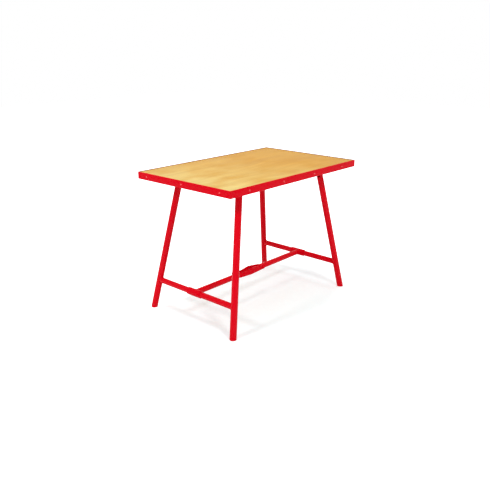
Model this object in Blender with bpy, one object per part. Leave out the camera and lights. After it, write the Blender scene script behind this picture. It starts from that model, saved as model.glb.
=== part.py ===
"""Folding installer's workbench: a plywood top in a steel angle frame on two swinging leg frames.

Each leg frame hangs on two pins under the top, and a half brace swings on its cross-rail. A hinged
link with an index plunger couples the two half braces, so that the legs stay spread.
Metres, +Z up, +X along the top, the front is -Y, and the origin is on the floor below the middle.
"""

import math

import bmesh
import bpy
from mathutils import Matrix, Vector

# Gap kept between pieces that touch or are welded, and the running gap of a bearing.
FIT_GAP = 0.0003

# Worktop: a board that lies in a mitred frame of angle steel.
TOP_LENGTH = 1.100
TOP_DEPTH = 0.700
TOP_HEIGHT = 0.817
RAIL_HEIGHT = 0.040
RAIL_FLANGE = 0.040
RAIL_WALL = 0.004
BOARD_RECESS = 0.002
BOARD_EDGE_GAP = 0.002
BOARD_EDGE_ROUND = 0.0008

# Screws through the frame into the edge of the board.
LONG_RAIL_SCREWS = 4
SHORT_RAIL_SCREWS = 3
LONG_SCREW_MARGIN = 0.140
SHORT_SCREW_MARGIN = 0.073
SCREW_HEAD_RADIUS = 0.0045
SCREW_HEAD_HEIGHT = 0.0022
SCREW_SHANK_RADIUS = 0.0022
SCREW_LENGTH = 0.030

# Legs: round tubes that splay outwards both ways.
LEG_RADIUS = 0.01925
LEG_WALL = 0.0025
LEG_SPLAY_X = math.radians(11.35)
LEG_SPLAY_Y = math.radians(6.97)
PIVOT_INSET_X = 0.193
PIVOT_INSET_Y = 0.1211
PIVOT_DROP = 0.032
FOOT_PLUG_DEPTH = 0.012

# Leg pivots: the forked top of each leg turns on a pin in a channel bracket that is welded to the frame.
EAR_ABOVE_PIVOT = 0.012
FORK_DEPTH = 0.0165
FORK_SIDE_GAP = 0.0006
BRACKET_HALF_WIDTH = 0.014
BRACKET_PLATE = 0.003
BRACKET_INNER_LIP = 0.020
CHEEK_RADIUS = 0.014
PIVOT_PIN_RADIUS = 0.005
PIVOT_PIN_HEAD_RADIUS = 0.007
PIVOT_PIN_HEAD_HEIGHT = 0.003

# Cross-rails and the half braces that swing on them.
CROSS_RAIL_HEIGHT = 0.1685
CROSS_RAIL_RADIUS = 0.017
CROSS_RAIL_WALL = 0.0026
SLEEVE_RADIUS = 0.021
SLEEVE_LENGTH = 0.084
COLLAR_RADIUS = 0.0205
COLLAR_WIDTH = 0.008
BRACE_RADIUS = 0.01685
BRACE_WALL = 0.0026
LEFT_BRACE_TIP = -0.101
RIGHT_BRACE_TIP = 0.072
CAP_FLANGE = 0.002
CAP_DEPTH = 0.008

# Centre link: two plates on the hinge bolt of the right brace, closed by a plunger in the left one.
PLATE_THICKNESS = 0.004
HINGE_X = 0.090
PLUNGER_X = -0.117
SPACER_X = 0.0
CROWN_X = -0.005
PLATE_TOP = 0.025
KEEL_X = -0.022
PLATE_BOTTOM = 0.0165
NOSE_RADIUS = 0.010
HINGE_END_RADIUS = 0.0115
# Degrees from the +X direction at which the plate's straight edges leave its two round ends.
HINGE_END_ARC = (-87, 82)
NOSE_ARC = (100, 265)
HINGE_BOLT_RADIUS = 0.005
HINGE_HEX = 0.008
HINGE_HEAD_HEIGHT = 0.0064
HINGE_NUT_HEIGHT = 0.008
BOLT_THREAD_SHOWING = 0.003
SPACER_RADIUS = 0.008
RIVET_RADIUS = 0.004
RIVET_HEAD_RADIUS = 0.0075
RIVET_HEAD_HEIGHT = 0.0035
PLUNGER_RADIUS = 0.004
PLUNGER_TRAVEL = 0.007
HOUSING_RADIUS = 0.008
HOUSING_LENGTH = 0.011
KNOB_RADIUS = 0.0085
KNOB_LENGTH = 0.009

# Facets of a tube, of a small fastener and of a plate's round end.
TUBE_SIDES = 24
BOLT_SIDES = 12
END_STEPS = 8

# Levels and places that follow from the sizes above.
RAIL_BOTTOM = TOP_HEIGHT - RAIL_HEIGHT
BOARD_BOTTOM = RAIL_BOTTOM + RAIL_WALL + FIT_GAP
BOARD_TOP = TOP_HEIGHT - BOARD_RECESS
SCREW_LEVEL = RAIL_BOTTOM + RAIL_HEIGHT / 2
PIVOT_X = TOP_LENGTH / 2 - PIVOT_INSET_X
PIVOT_Y = TOP_DEPTH / 2 - PIVOT_INSET_Y
PIVOT_Z = RAIL_BOTTOM - PIVOT_DROP
CROSS_DROP = PIVOT_Z - CROSS_RAIL_HEIGHT
CROSS_RAIL_X = PIVOT_X + CROSS_DROP * math.tan(LEG_SPLAY_X)
CROSS_RAIL_Y = PIVOT_Y + CROSS_DROP * math.tan(LEG_SPLAY_Y)
PLATE_INNER_Y = BRACE_RADIUS + FIT_GAP
PLATE_OUTER_Y = PLATE_INNER_Y + PLATE_THICKNESS


def clear_scene():
    for obj in list(bpy.data.objects):
        bpy.data.objects.remove(obj, do_unlink=True)


def finish(name, colour, roughness, metallic):
    """A Principled material; the colour is linear."""
    made = bpy.data.materials.new(name)
    made.use_nodes = True
    shader = made.node_tree.nodes["Principled BSDF"]
    shader.inputs["Base Color"].default_value = (*colour, 1.0)
    shader.inputs["Roughness"].default_value = roughness
    shader.inputs["Metallic"].default_value = metallic
    return made


def axis_empty(name, location, parent=None):
    """An empty on a joint's axis, which carries the pieces of one moving body."""
    empty = bpy.data.objects.new(name, None)
    empty.empty_display_size = 0.05
    bpy.context.collection.objects.link(empty)
    empty.location = location
    if parent is not None:
        empty.parent = parent
        empty.location = Vector(location) - parent.matrix_world.translation
    bpy.context.view_layer.update()
    return empty


def place(name, shape, location, direction, material, carrier):
    """Makes a mesh object of a shape, with the shape's own Z axis turned to the direction."""
    mesh = bpy.data.meshes.new(name)
    bmesh.ops.recalc_face_normals(shape, faces=shape.faces)
    shape.to_mesh(mesh)
    shape.free()
    mesh.shade_smooth()
    mesh.set_sharp_from_angle(angle=math.radians(35))
    obj = bpy.data.objects.new(name, mesh)
    bpy.context.collection.objects.link(obj)
    if material is not None:
        mesh.materials.append(material)
    obj.rotation_mode = "QUATERNION"
    obj.rotation_quaternion = axes_towards(direction).to_quaternion()
    obj.location = location
    if carrier is not None:
        obj.parent = carrier
        obj.location = Vector(location) - carrier.matrix_world.translation
    return obj


def axes_towards(direction):
    """A rotation that takes Z to the direction and keeps X level."""
    z_axis = Vector(direction).normalized()
    up = Vector((0, 0, 1))
    x_axis = up.cross(z_axis)
    if x_axis.length < 1e-6:
        x_axis = Vector((1, 0, 0))
    x_axis.normalize()
    y_axis = z_axis.cross(x_axis)
    return Matrix((x_axis, y_axis, z_axis)).transposed()


def turned(profile, sides, closed=False):
    """A shape turned about Z from (radius, z) points; a third value of True makes a hexagon."""
    shape = bmesh.new()
    rings = []
    for radius, level, *hexagon in profile:
        if radius == 0:
            rings.append([shape.verts.new((0, 0, level))])
            continue
        ring = []
        for step in range(sides):
            angle = 2 * math.pi * step / sides
            reach = radius
            if hexagon:
                off_flat = (angle + math.pi / 6) % (math.pi / 3) - math.pi / 6
                reach = radius / math.cos(off_flat)
            ring.append(shape.verts.new((reach * math.cos(angle), reach * math.sin(angle), level)))
        rings.append(ring)
    pairs = list(zip(rings, rings[1:]))
    if closed:
        pairs.append((rings[-1], rings[0]))
    for lower, upper in pairs:
        for step in range(sides):
            after = (step + 1) % sides
            if len(lower) == 1:
                shape.faces.new((lower[0], upper[after], upper[step]))
            elif len(upper) == 1:
                shape.faces.new((lower[step], lower[after], upper[0]))
            else:
                shape.faces.new((lower[step], lower[after], upper[after], upper[step]))
    return shape


def tube(outer, inner, length):
    return turned([(outer, 0), (outer, length), (inner, length), (inner, 0)], TUBE_SIDES, closed=True)


def rod(radius, length, sides=TUBE_SIDES):
    return turned([(0, 0), (radius, 0), (radius, length), (0, length)], sides)


def prism(outline, thickness):
    """An outline in XY, extruded along Z."""
    shape = bmesh.new()
    lower = [shape.verts.new((x, y, 0)) for x, y in outline]
    upper = [shape.verts.new((x, y, thickness)) for x, y in outline]
    shape.faces.new(lower)
    shape.faces.new(upper)
    for step in range(len(outline)):
        after = (step + 1) % len(outline)
        shape.faces.new((lower[step], lower[after], upper[after], upper[step]))
    return shape


def arc(centre, radius, start, end, steps):
    """Points on an arc; the angles are in degrees."""
    points = []
    for step in range(steps + 1):
        angle = math.radians(start + (end - start) * step / steps)
        points.append((centre[0] + radius * math.cos(angle), centre[1] + radius * math.sin(angle)))
    return points


def cutter(name, shape, location, direction, carrier=None):
    obj = place(name, shape, location, direction, None, carrier)
    obj.hide_render = True
    obj.display_type = "WIRE"
    return obj


def cut(obj, *cutters):
    for tool in cutters:
        modifier = obj.modifiers.new("cut_" + tool.name, "BOOLEAN")
        modifier.operation = "DIFFERENCE"
        modifier.solver = "EXACT"
        modifier.object = tool


def hex_bolt(flat_radius, head_height, radius, length):
    """A hexagon head below Z = 0 and a plain shank above it."""
    profile = [(0, -head_height), (flat_radius, -head_height, True), (flat_radius, 0, True)]
    profile += [(radius, 0), (radius, length), (0, length)]
    return turned(profile, BOLT_SIDES)


def hex_nut(flat_radius, radius, height):
    profile = [(flat_radius, 0, True), (flat_radius, height, True), (radius, height), (radius, 0)]
    return turned(profile, BOLT_SIDES, closed=True)


def headed_pin(radius, half_span, head_radius, head_height):
    """A pin about Z = 0 with a domed head on each end, half_span from the middle."""
    half = [
        (0, -half_span - head_height),
        (0.6 * head_radius, -half_span - 0.8 * head_height),
        (head_radius, -half_span - 0.2 * head_height),
        (head_radius, -half_span),
        (radius, -half_span),
    ]
    return turned(half + [(ring, -level) for ring, level in reversed(half)], BOLT_SIDES)


def screw_places():
    """(name, point on the frame's outer face, inward direction) for each edge screw."""
    places = []
    long_run = TOP_LENGTH - 2 * LONG_SCREW_MARGIN
    short_run = TOP_DEPTH - 2 * SHORT_SCREW_MARGIN
    for side, label in ((-1, "front"), (1, "back")):
        for count in range(LONG_RAIL_SCREWS):
            along = -long_run / 2 + long_run * count / (LONG_RAIL_SCREWS - 1)
            point = Vector((along, side * TOP_DEPTH / 2, SCREW_LEVEL))
            places.append((f"{label}_screw_{count + 1}", point, Vector((0, -side, 0))))
    for side, label in ((-1, "left"), (1, "right")):
        for count in range(SHORT_RAIL_SCREWS):
            along = -short_run / 2 + short_run * count / (SHORT_RAIL_SCREWS - 1)
            point = Vector((side * TOP_LENGTH / 2, along, SCREW_LEVEL))
            places.append((f"{label}_screw_{count + 1}", point, Vector((-side, 0, 0))))
    return places


def angle_rail(length):
    """An angle section with mitred ends: X along the rail, Y inwards from its outer face, Z up."""
    section = [
        (0, RAIL_BOTTOM),
        (RAIL_FLANGE, RAIL_BOTTOM),
        (RAIL_FLANGE, RAIL_BOTTOM + RAIL_WALL),
        (RAIL_WALL, RAIL_BOTTOM + RAIL_WALL),
        (RAIL_WALL, TOP_HEIGHT),
        (0, TOP_HEIGHT),
    ]
    shape = bmesh.new()
    ends = []
    for sign in (-1, 1):
        ends.append([shape.verts.new((sign * (length / 2 - FIT_GAP - y), y, z)) for y, z in section])
    shape.faces.new(ends[0])
    shape.faces.new(ends[1])
    for step in range(len(section)):
        after = (step + 1) % len(section)
        shape.faces.new((ends[0][step], ends[0][after], ends[1][after], ends[1][step]))
    return shape


def build_top(red, wood):
    """The board, its frame and the screws that hold them together."""
    hole_tools = []
    for name, point, inward in screw_places():
        hole = rod(SCREW_SHANK_RADIUS + FIT_GAP, SCREW_LENGTH + 2 * RAIL_WALL, BOLT_SIDES)
        hole_tools.append((name, cutter(name + "_hole", hole, point - inward * RAIL_WALL, inward)))
    inset = 2 * (RAIL_WALL + BOARD_EDGE_GAP)
    half_x = (TOP_LENGTH - inset) / 2
    half_y = (TOP_DEPTH - inset) / 2
    outline = [(-half_x, -half_y), (half_x, -half_y), (half_x, half_y), (-half_x, half_y)]
    slab = prism(outline, BOARD_TOP - BOARD_BOTTOM)
    board = place("worktop_board", slab, (0, 0, BOARD_BOTTOM), (0, 0, 1), wood, None)
    rounding = board.modifiers.new("eased_edges", "BEVEL")
    rounding.width = BOARD_EDGE_ROUND
    rounding.segments = 1
    cut(board, *[tool for _, tool in hole_tools])
    rails = (
        ("front", TOP_LENGTH, (0, -TOP_DEPTH / 2, 0), 0),
        ("back", TOP_LENGTH, (0, TOP_DEPTH / 2, 0), math.pi),
        ("left", TOP_DEPTH, (-TOP_LENGTH / 2, 0, 0), -math.pi / 2),
        ("right", TOP_DEPTH, (TOP_LENGTH / 2, 0, 0), math.pi / 2),
    )
    for label, length, location, turn in rails:
        rail = place(label + "_rail", angle_rail(length), location, (0, 0, 1), red, None)
        rail.rotation_mode = "XYZ"
        rail.rotation_euler = (0, 0, turn)
        cut(rail, *[tool for name, tool in hole_tools if name.startswith(label)])
    head = SCREW_HEAD_HEIGHT
    for name, point, inward in screw_places():
        profile = [
            (0, -head),
            (0.55 * SCREW_HEAD_RADIUS, -0.85 * head),
            (SCREW_HEAD_RADIUS, -0.3 * head),
            (SCREW_HEAD_RADIUS, 0),
            (SCREW_SHANK_RADIUS, 0),
            (SCREW_SHANK_RADIUS, SCREW_LENGTH - 2 * SCREW_SHANK_RADIUS),
            (0, SCREW_LENGTH),
        ]
        place(name, turned(profile, BOLT_SIDES), point - inward * FIT_GAP, inward, red, None)


def build_bracket(side_x, side_y, label, red):
    """A channel bracket under the board, welded to the edge of the frame's flange, and its pivot pin."""
    outer_face = BRACKET_HALF_WIDTH
    inner_face = outer_face - BRACKET_PLATE
    plate_top = BOARD_BOTTOM - FIT_GAP - PIVOT_Z
    plate_low = plate_top - BRACKET_PLATE
    reach = PIVOT_INSET_Y - RAIL_FLANGE - FIT_GAP
    outline = [
        (-outer_face, -CHEEK_RADIUS),
        (-inner_face, -CHEEK_RADIUS),
        (-inner_face, plate_low),
        (inner_face, plate_low),
        (inner_face, -CHEEK_RADIUS),
        (outer_face, -CHEEK_RADIUS),
        (outer_face, plate_low),
        (reach, plate_low),
        (reach, plate_top),
        (-outer_face - BRACKET_INNER_LIP, plate_top),
        (-outer_face - BRACKET_INNER_LIP, plate_low),
        (-outer_face, plate_low),
    ]
    # The shape's Z axis is world X, its X axis is world Y and its Y axis is up.
    outline = [(side_y * y, z) for y, z in outline]
    pivot = Vector((side_x * PIVOT_X, side_y * PIVOT_Y, PIVOT_Z))
    corner = pivot - Vector((CHEEK_RADIUS, 0, 0))
    bracket = place(label + "_bracket", prism(outline, 2 * CHEEK_RADIUS), corner, (1, 0, 0), red, None)
    across = Vector((0, 1, 0))
    span = 2 * PIVOT_INSET_Y
    rounded = arc((0, 0), CHEEK_RADIUS, 180, 360, END_STEPS)
    rounded += [(CHEEK_RADIUS, 2 * plate_top), (-CHEEK_RADIUS, 2 * plate_top)]
    round_end = cutter(label + "_cheek_round", prism(rounded, span), pivot - across * span / 2, across)
    trim = bracket.modifiers.new("round_cheeks", "BOOLEAN")
    trim.operation = "INTERSECT"
    trim.solver = "EXACT"
    trim.object = round_end
    hole = rod(PIVOT_PIN_RADIUS + FIT_GAP, span, BOLT_SIDES)
    cut(bracket, cutter(label + "_bracket_hole", hole, pivot - across * span / 2, across))
    # The pin's heads lie clear of the leg, whose side leans by the splay below them.
    lean = PIVOT_PIN_HEAD_RADIUS * math.tan(LEG_SPLAY_Y)
    head_face = LEG_RADIUS / math.cos(LEG_SPLAY_Y) + lean + FIT_GAP
    pin = headed_pin(PIVOT_PIN_RADIUS, head_face, PIVOT_PIN_HEAD_RADIUS, PIVOT_PIN_HEAD_HEIGHT)
    place(label + "_pivot_pin", pin, pivot, across, red, None)


def leg_direction(side_x, side_y):
    """Down along the leg, from its pivot to its foot."""
    down = (side_x * math.tan(LEG_SPLAY_X), side_y * math.tan(LEG_SPLAY_Y), -1)
    return Vector(down).normalized()


def level_footed(shape, length, pivot, direction):
    """Slides the points at the far end of a leg's shape along the leg, down to the floor."""
    turn = axes_towards(direction)
    for vert in shape.verts:
        if vert.co.z > length / 2:
            world = pivot + turn @ vert.co
            vert.co.z -= world.z / direction.z
    return shape


def build_leg(side_x, side_y, label, carrier, red):
    """A leg with a forked top and an end plate in its foot, cut level with the floor."""
    pivot = Vector((side_x * PIVOT_X, side_y * PIVOT_Y, PIVOT_Z))
    down = leg_direction(side_x, side_y)
    top = pivot - down * EAR_ABOVE_PIVOT
    length = -top.z / down.z
    bore = LEG_RADIUS - LEG_WALL
    leg_shape = level_footed(tube(LEG_RADIUS, bore, length), length, top, down)
    leg = place(label + "_leg", leg_shape, top, down, red, carrier)
    across = Vector((0, 1, 0))
    half_slot = BRACKET_HALF_WIDTH + FORK_SIDE_GAP
    slot_start = pivot - across * half_slot
    slot = prism(fork_outline(side_x), 2 * half_slot)
    span = 4 * LEG_RADIUS
    hole = rod(PIVOT_PIN_RADIUS + FIT_GAP, span, BOLT_SIDES)
    cut(
        leg,
        cutter(label + "_fork_slot", slot, slot_start, across, carrier),
        cutter(label + "_ear_hole", hole, pivot - across * span / 2, across, carrier),
    )
    plug_top = pivot + down * (-PIVOT_Z / down.z - FOOT_PLUG_DEPTH)
    plug = level_footed(rod(bore - FIT_GAP, FOOT_PLUG_DEPTH), FOOT_PLUG_DEPTH, plug_top, down)
    place(label + "_foot_plate", plug, plug_top, down, red, carrier)


def fork_outline(side_x):
    """Side view of the slot in a leg's top, about the pivot: X runs to world -X and Y is up."""
    along = Vector((-side_x * math.sin(LEG_SPLAY_X), -math.cos(LEG_SPLAY_X)))
    beside = Vector((along.y, -along.x)) * 2 * LEG_RADIUS
    low = along * FORK_DEPTH
    high = -along * 4 * EAR_ABOVE_PIVOT
    return [tuple(point) for point in (low - beside, low + beside, high + beside, high - beside)]


def build_cross_rail(side_x, label, carrier, red):
    """The tube between the two legs of a frame, and the collars that keep the brace in its middle."""
    start = Vector((side_x * CROSS_RAIL_X, -CROSS_RAIL_Y, CROSS_RAIL_HEIGHT))
    shape = tube(CROSS_RAIL_RADIUS, CROSS_RAIL_RADIUS - CROSS_RAIL_WALL, 2 * CROSS_RAIL_Y)
    rail = place(label + "_cross_rail", shape, start, (0, 1, 0), red, carrier)
    for side_y, end in ((-1, "front"), (1, "back")):
        down = leg_direction(side_x, side_y)
        centre = Vector((start.x, side_y * CROSS_RAIL_Y, start.z))
        reach = 4 * CROSS_RAIL_RADIUS
        saddle = rod(LEG_RADIUS + FIT_GAP, 2 * reach)
        cut(rail, cutter(f"{label}_{end}_saddle", saddle, centre - down * reach, down, carrier))
        collar = tube(COLLAR_RADIUS, CROSS_RAIL_RADIUS + FIT_GAP, COLLAR_WIDTH)
        outward = Vector((0, side_y, 0))
        collar_start = Vector((start.x, 0, start.z)) + outward * (SLEEVE_LENGTH / 2 + FIT_GAP)
        place(f"{label}_{end}_collar", collar, collar_start, outward, red, carrier)


def build_brace(side_x, label, tip, carrier, red):
    """A half brace: a sleeve on the cross-rail, the tube that is welded to it and an end cap."""
    axis = Vector((side_x * CROSS_RAIL_X, 0, CROSS_RAIL_HEIGHT))
    across = Vector((0, 1, 0))
    sleeve = tube(SLEEVE_RADIUS, CROSS_RAIL_RADIUS + FIT_GAP, SLEEVE_LENGTH)
    place(label + "_brace_sleeve", sleeve, axis - across * SLEEVE_LENGTH / 2, across, red, carrier)
    inward = Vector((-side_x, 0, 0))
    length = abs(axis.x - tip) - CAP_FLANGE - FIT_GAP
    bore = BRACE_RADIUS - BRACE_WALL
    brace = place(label + "_brace", tube(BRACE_RADIUS, bore, length), axis, inward, red, carrier)
    seat = rod(SLEEVE_RADIUS + FIT_GAP, SLEEVE_LENGTH)
    cut(brace, cutter(label + "_sleeve_seat", seat, axis - across * SLEEVE_LENGTH / 2, across, carrier))
    plug_radius = bore - FIT_GAP
    profile = [
        (0, 0),
        (plug_radius, 0),
        (plug_radius, CAP_DEPTH),
        (BRACE_RADIUS, CAP_DEPTH),
        (BRACE_RADIUS, CAP_DEPTH + CAP_FLANGE),
        (0, CAP_DEPTH + CAP_FLANGE),
    ]
    cap_start = Vector((tip, 0, CROSS_RAIL_HEIGHT)) - inward * (CAP_DEPTH + CAP_FLANGE)
    place(label + "_brace_cap", turned(profile, TUBE_SIDES), cap_start, inward, red, carrier)
    return brace


def link_outline():
    """Side view of a link plate about the brace's axis: X along the brace and Y up."""
    points = arc((HINGE_X, 0), HINGE_END_RADIUS, *HINGE_END_ARC, END_STEPS)
    points.append((CROWN_X, PLATE_TOP))
    points += arc((PLUNGER_X, 0), NOSE_RADIUS, *NOSE_ARC, END_STEPS)
    points.append((KEEL_X, -PLATE_BOTTOM))
    return points


def build_link(carrier, pin_carrier, left_brace, right_brace, red, zinc, black):
    """The centre link on its hinge bolt, and the index plunger on its back plate."""
    across = Vector((0, 1, 0))
    hinge = Vector((HINGE_X, 0, CROSS_RAIL_HEIGHT))
    spacer_axis = Vector((SPACER_X, 0, CROSS_RAIL_HEIGHT))
    plunger_axis = Vector((PLUNGER_X, 0, CROSS_RAIL_HEIGHT))
    reach = 2 * PLATE_OUTER_Y
    hinge_tool = rod(HINGE_BOLT_RADIUS + FIT_GAP, 2 * reach, BOLT_SIDES)
    hinge_hole = cutter("hinge_hole", hinge_tool, hinge - across * reach, across, carrier)
    rivet_tool = rod(RIVET_RADIUS + FIT_GAP, 2 * reach, BOLT_SIDES)
    rivet_hole = cutter("rivet_hole", rivet_tool, spacer_axis - across * reach, across, carrier)
    plunger_tool = rod(PLUNGER_RADIUS + FIT_GAP, reach, BOLT_SIDES)
    plunger_hole = cutter("plunger_hole", plunger_tool, plunger_axis, across, carrier)
    cut(right_brace, hinge_hole)
    cut(left_brace, plunger_hole)
    # The plates lie in XZ: a shape whose Z axis is world Y has its X axis along -X.
    outline = [(-x, z) for x, z in link_outline()]
    for face_y, label in ((-PLATE_OUTER_Y, "front"), (PLATE_INNER_Y, "back")):
        origin = Vector((0, face_y, CROSS_RAIL_HEIGHT))
        shape = prism(outline, PLATE_THICKNESS)
        plate = place(label + "_link_plate", shape, origin, (0, 1, 0), red, carrier)
        cut(plate, hinge_hole, rivet_hole)
        if label == "back":
            cut(plate, plunger_hole)
    outer = PLATE_OUTER_Y + FIT_GAP
    bolt_length = 2 * outer + HINGE_NUT_HEIGHT + BOLT_THREAD_SHOWING
    bolt = hex_bolt(HINGE_HEX, HINGE_HEAD_HEIGHT, HINGE_BOLT_RADIUS, bolt_length)
    place("link_hinge_bolt", bolt, hinge - across * outer, across, red, carrier)
    nut = hex_nut(HINGE_HEX, HINGE_BOLT_RADIUS + FIT_GAP, HINGE_NUT_HEIGHT)
    place("link_hinge_nut", nut, hinge + across * outer, across, red, carrier)
    half_spacer = PLATE_INNER_Y - FIT_GAP
    spacer = tube(SPACER_RADIUS, RIVET_RADIUS + FIT_GAP, 2 * half_spacer)
    place("link_spacer", spacer, spacer_axis - across * half_spacer, across, zinc, carrier)
    rivet = headed_pin(RIVET_RADIUS, outer, RIVET_HEAD_RADIUS, RIVET_HEAD_HEIGHT)
    place("link_rivet", rivet, spacer_axis, across, red, carrier)
    housing = tube(HOUSING_RADIUS, PLUNGER_RADIUS + FIT_GAP, HOUSING_LENGTH)
    place("plunger_housing", housing, plunger_axis + across * outer, across, zinc, carrier)
    knob_start = outer + HOUSING_LENGTH + PLUNGER_TRAVEL + FIT_GAP
    pin_length = knob_start + KNOB_LENGTH - PLATE_INNER_Y
    tip = PLUNGER_RADIUS / 4
    profile = [
        (0, 0),
        (PLUNGER_RADIUS - tip, 0),
        (PLUNGER_RADIUS, tip),
        (PLUNGER_RADIUS, pin_length),
        (0, pin_length),
    ]
    pin_start = plunger_axis + across * PLATE_INNER_Y
    place("lock_plunger", turned(profile, BOLT_SIDES), pin_start, across, zinc, pin_carrier)
    bore = PLUNGER_RADIUS + FIT_GAP
    edge = KNOB_LENGTH / 6
    profile = [
        (bore, 0),
        (KNOB_RADIUS - edge, 0),
        (KNOB_RADIUS, edge),
        (KNOB_RADIUS, KNOB_LENGTH - edge),
        (KNOB_RADIUS - edge, KNOB_LENGTH),
        (bore, KNOB_LENGTH),
    ]
    knob = turned(profile, TUBE_SIDES, closed=True)
    place("lock_knob", knob, plunger_axis + across * knob_start, across, black, pin_carrier)


def build_bench():
    clear_scene()
    red = finish("red_enamel", (0.708, 0.004, 0.011), 0.35, 0.0)
    wood = finish("oiled_plywood", (0.82, 0.51, 0.14), 0.55, 0.0)
    zinc = finish("zinc_plated_steel", (0.55, 0.55, 0.53), 0.35, 1.0)
    black = finish("black_plastic", (0.02, 0.02, 0.02), 0.5, 0.0)
    build_top(red, wood)
    braces = {}
    carriers = {}
    for side_x, name, tip in ((-1, "left", LEFT_BRACE_TIP), (1, "right", RIGHT_BRACE_TIP)):
        leg_axis = axis_empty(name + "_legs_axis", (side_x * PIVOT_X, 0, PIVOT_Z))
        for side_y, row in ((-1, "front"), (1, "back")):
            label = f"{name}_{row}"
            build_bracket(side_x, side_y, label, red)
            build_leg(side_x, side_y, label, leg_axis, red)
        build_cross_rail(side_x, name, leg_axis, red)
        brace_point = (side_x * CROSS_RAIL_X, 0, CROSS_RAIL_HEIGHT)
        brace_axis = axis_empty(name + "_brace_axis", brace_point, leg_axis)
        braces[name] = build_brace(side_x, name, tip, brace_axis, red)
        carriers[name] = brace_axis
    link_axis = axis_empty("link_axis", (HINGE_X, 0, CROSS_RAIL_HEIGHT), carriers["right"])
    plunger_point = (PLUNGER_X, PLATE_INNER_Y, CROSS_RAIL_HEIGHT)
    plunger_axis = axis_empty("plunger_axis", plunger_point, link_axis)
    build_link(link_axis, plunger_axis, braces["left"], braces["right"], red, zinc, black)


build_bench()
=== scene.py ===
"""Dresses a folding installer's workbench: a plywood top, red enamelled steel and small plated fittings.

Metres, +Z up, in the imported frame: +X along the top, the front is -Y, and the floor is Z = 0.
"""

import math

import bmesh
import bpy
from mathutils import Matrix, Vector


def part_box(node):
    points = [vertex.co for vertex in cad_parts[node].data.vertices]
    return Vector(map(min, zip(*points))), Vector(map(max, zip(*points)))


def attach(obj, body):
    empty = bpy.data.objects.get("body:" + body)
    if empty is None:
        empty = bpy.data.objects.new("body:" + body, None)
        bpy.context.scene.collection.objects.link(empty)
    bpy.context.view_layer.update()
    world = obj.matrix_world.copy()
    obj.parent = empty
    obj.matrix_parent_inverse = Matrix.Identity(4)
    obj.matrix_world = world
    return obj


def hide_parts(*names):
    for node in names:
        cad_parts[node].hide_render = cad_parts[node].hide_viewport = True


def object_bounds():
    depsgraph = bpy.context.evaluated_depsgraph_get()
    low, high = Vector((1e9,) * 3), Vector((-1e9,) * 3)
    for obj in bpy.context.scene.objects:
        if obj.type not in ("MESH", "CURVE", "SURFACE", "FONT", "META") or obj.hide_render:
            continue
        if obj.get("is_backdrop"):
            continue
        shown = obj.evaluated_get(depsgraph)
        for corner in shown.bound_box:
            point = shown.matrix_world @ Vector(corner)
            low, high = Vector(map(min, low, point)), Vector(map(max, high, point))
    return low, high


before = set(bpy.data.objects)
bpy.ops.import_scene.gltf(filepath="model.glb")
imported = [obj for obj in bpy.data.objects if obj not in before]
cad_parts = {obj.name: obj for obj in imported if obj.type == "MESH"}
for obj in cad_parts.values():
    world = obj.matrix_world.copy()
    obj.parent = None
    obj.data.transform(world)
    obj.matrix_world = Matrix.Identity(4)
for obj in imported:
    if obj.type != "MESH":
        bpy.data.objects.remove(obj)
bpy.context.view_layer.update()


# Angle frame: four lengths of 40 mm hot-rolled angle with rounded toes and heel. They are mitred,
# welded under the corners, ground flush outside and stove-enamelled red. The flange carries the board.

ANGLE_WALL = 0.004
ANGLE_HEEL = 0.0014
ANGLE_TOE = 0.0012
ANGLE_ROOT = 0.0011
MITRE_GAP = 0.00003
CORNER_WELD = 0.0016
CORNER_WELD_STEPS = 14
WELD_RIPPLE = 0.14
WELD_RIPPLE_TURN = math.radians(120)
RED_SHADES = ((0.700, 0.0004, 0.0085, 1.0), (0.785, 0.0006, 0.0115, 1.0))
# A dark red painted as shade on the rims' inner faces, and the depth below the board's face where that
# painted shade starts.
PAINTED_SLOT_SHADE = (0.120, 0.012, 0.010, 1.0)
PAINTED_SHADE_DEPTH = 0.003


def rounded(corners, steps=4):
    """An outline from (x, y, radius) corners, with an arc at each corner that has a radius."""
    outline = []
    for index, (x, y, radius) in enumerate(corners):
        here = Vector((x, y))
        if radius == 0:
            outline.append((x, y))
            continue
        before = (Vector(corners[index - 1][:2]) - here).normalized()
        after = (Vector(corners[(index + 1) % len(corners)][:2]) - here).normalized()
        half = before.angle(after) / 2
        centre = here + (before + after).normalized() * radius / math.sin(half)
        start = here + before * radius / math.tan(half) - centre
        end = here + after * radius / math.tan(half) - centre
        first = math.atan2(start.y, start.x)
        sweep = (math.atan2(end.y, end.x) - first + math.pi) % (2 * math.pi) - math.pi
        for step in range(steps + 1):
            angle = first + sweep * step / steps
            outline.append((centre.x + radius * math.cos(angle), centre.y + radius * math.sin(angle)))
    return outline


def loft(rings, closed=False):
    """Skins rings of points that have the same count; open ends are filled."""
    shape = bmesh.new()
    rows = [[shape.verts.new(point) for point in ring] for ring in rings]
    pairs = list(zip(rows, rows[1:]))
    if closed:
        pairs.append((rows[-1], rows[0]))
    else:
        shape.faces.new(rows[0])
        shape.faces.new(rows[-1])
    for lower, upper in pairs:
        for step in range(len(lower)):
            after = (step + 1) % len(lower)
            shape.faces.new((lower[step], lower[after], upper[after], upper[step]))
    return shape


def moved(shape, where):
    """The same shape, carried to a place."""
    bmesh.ops.transform(shape, matrix=where, verts=shape.verts)
    return shape


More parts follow.
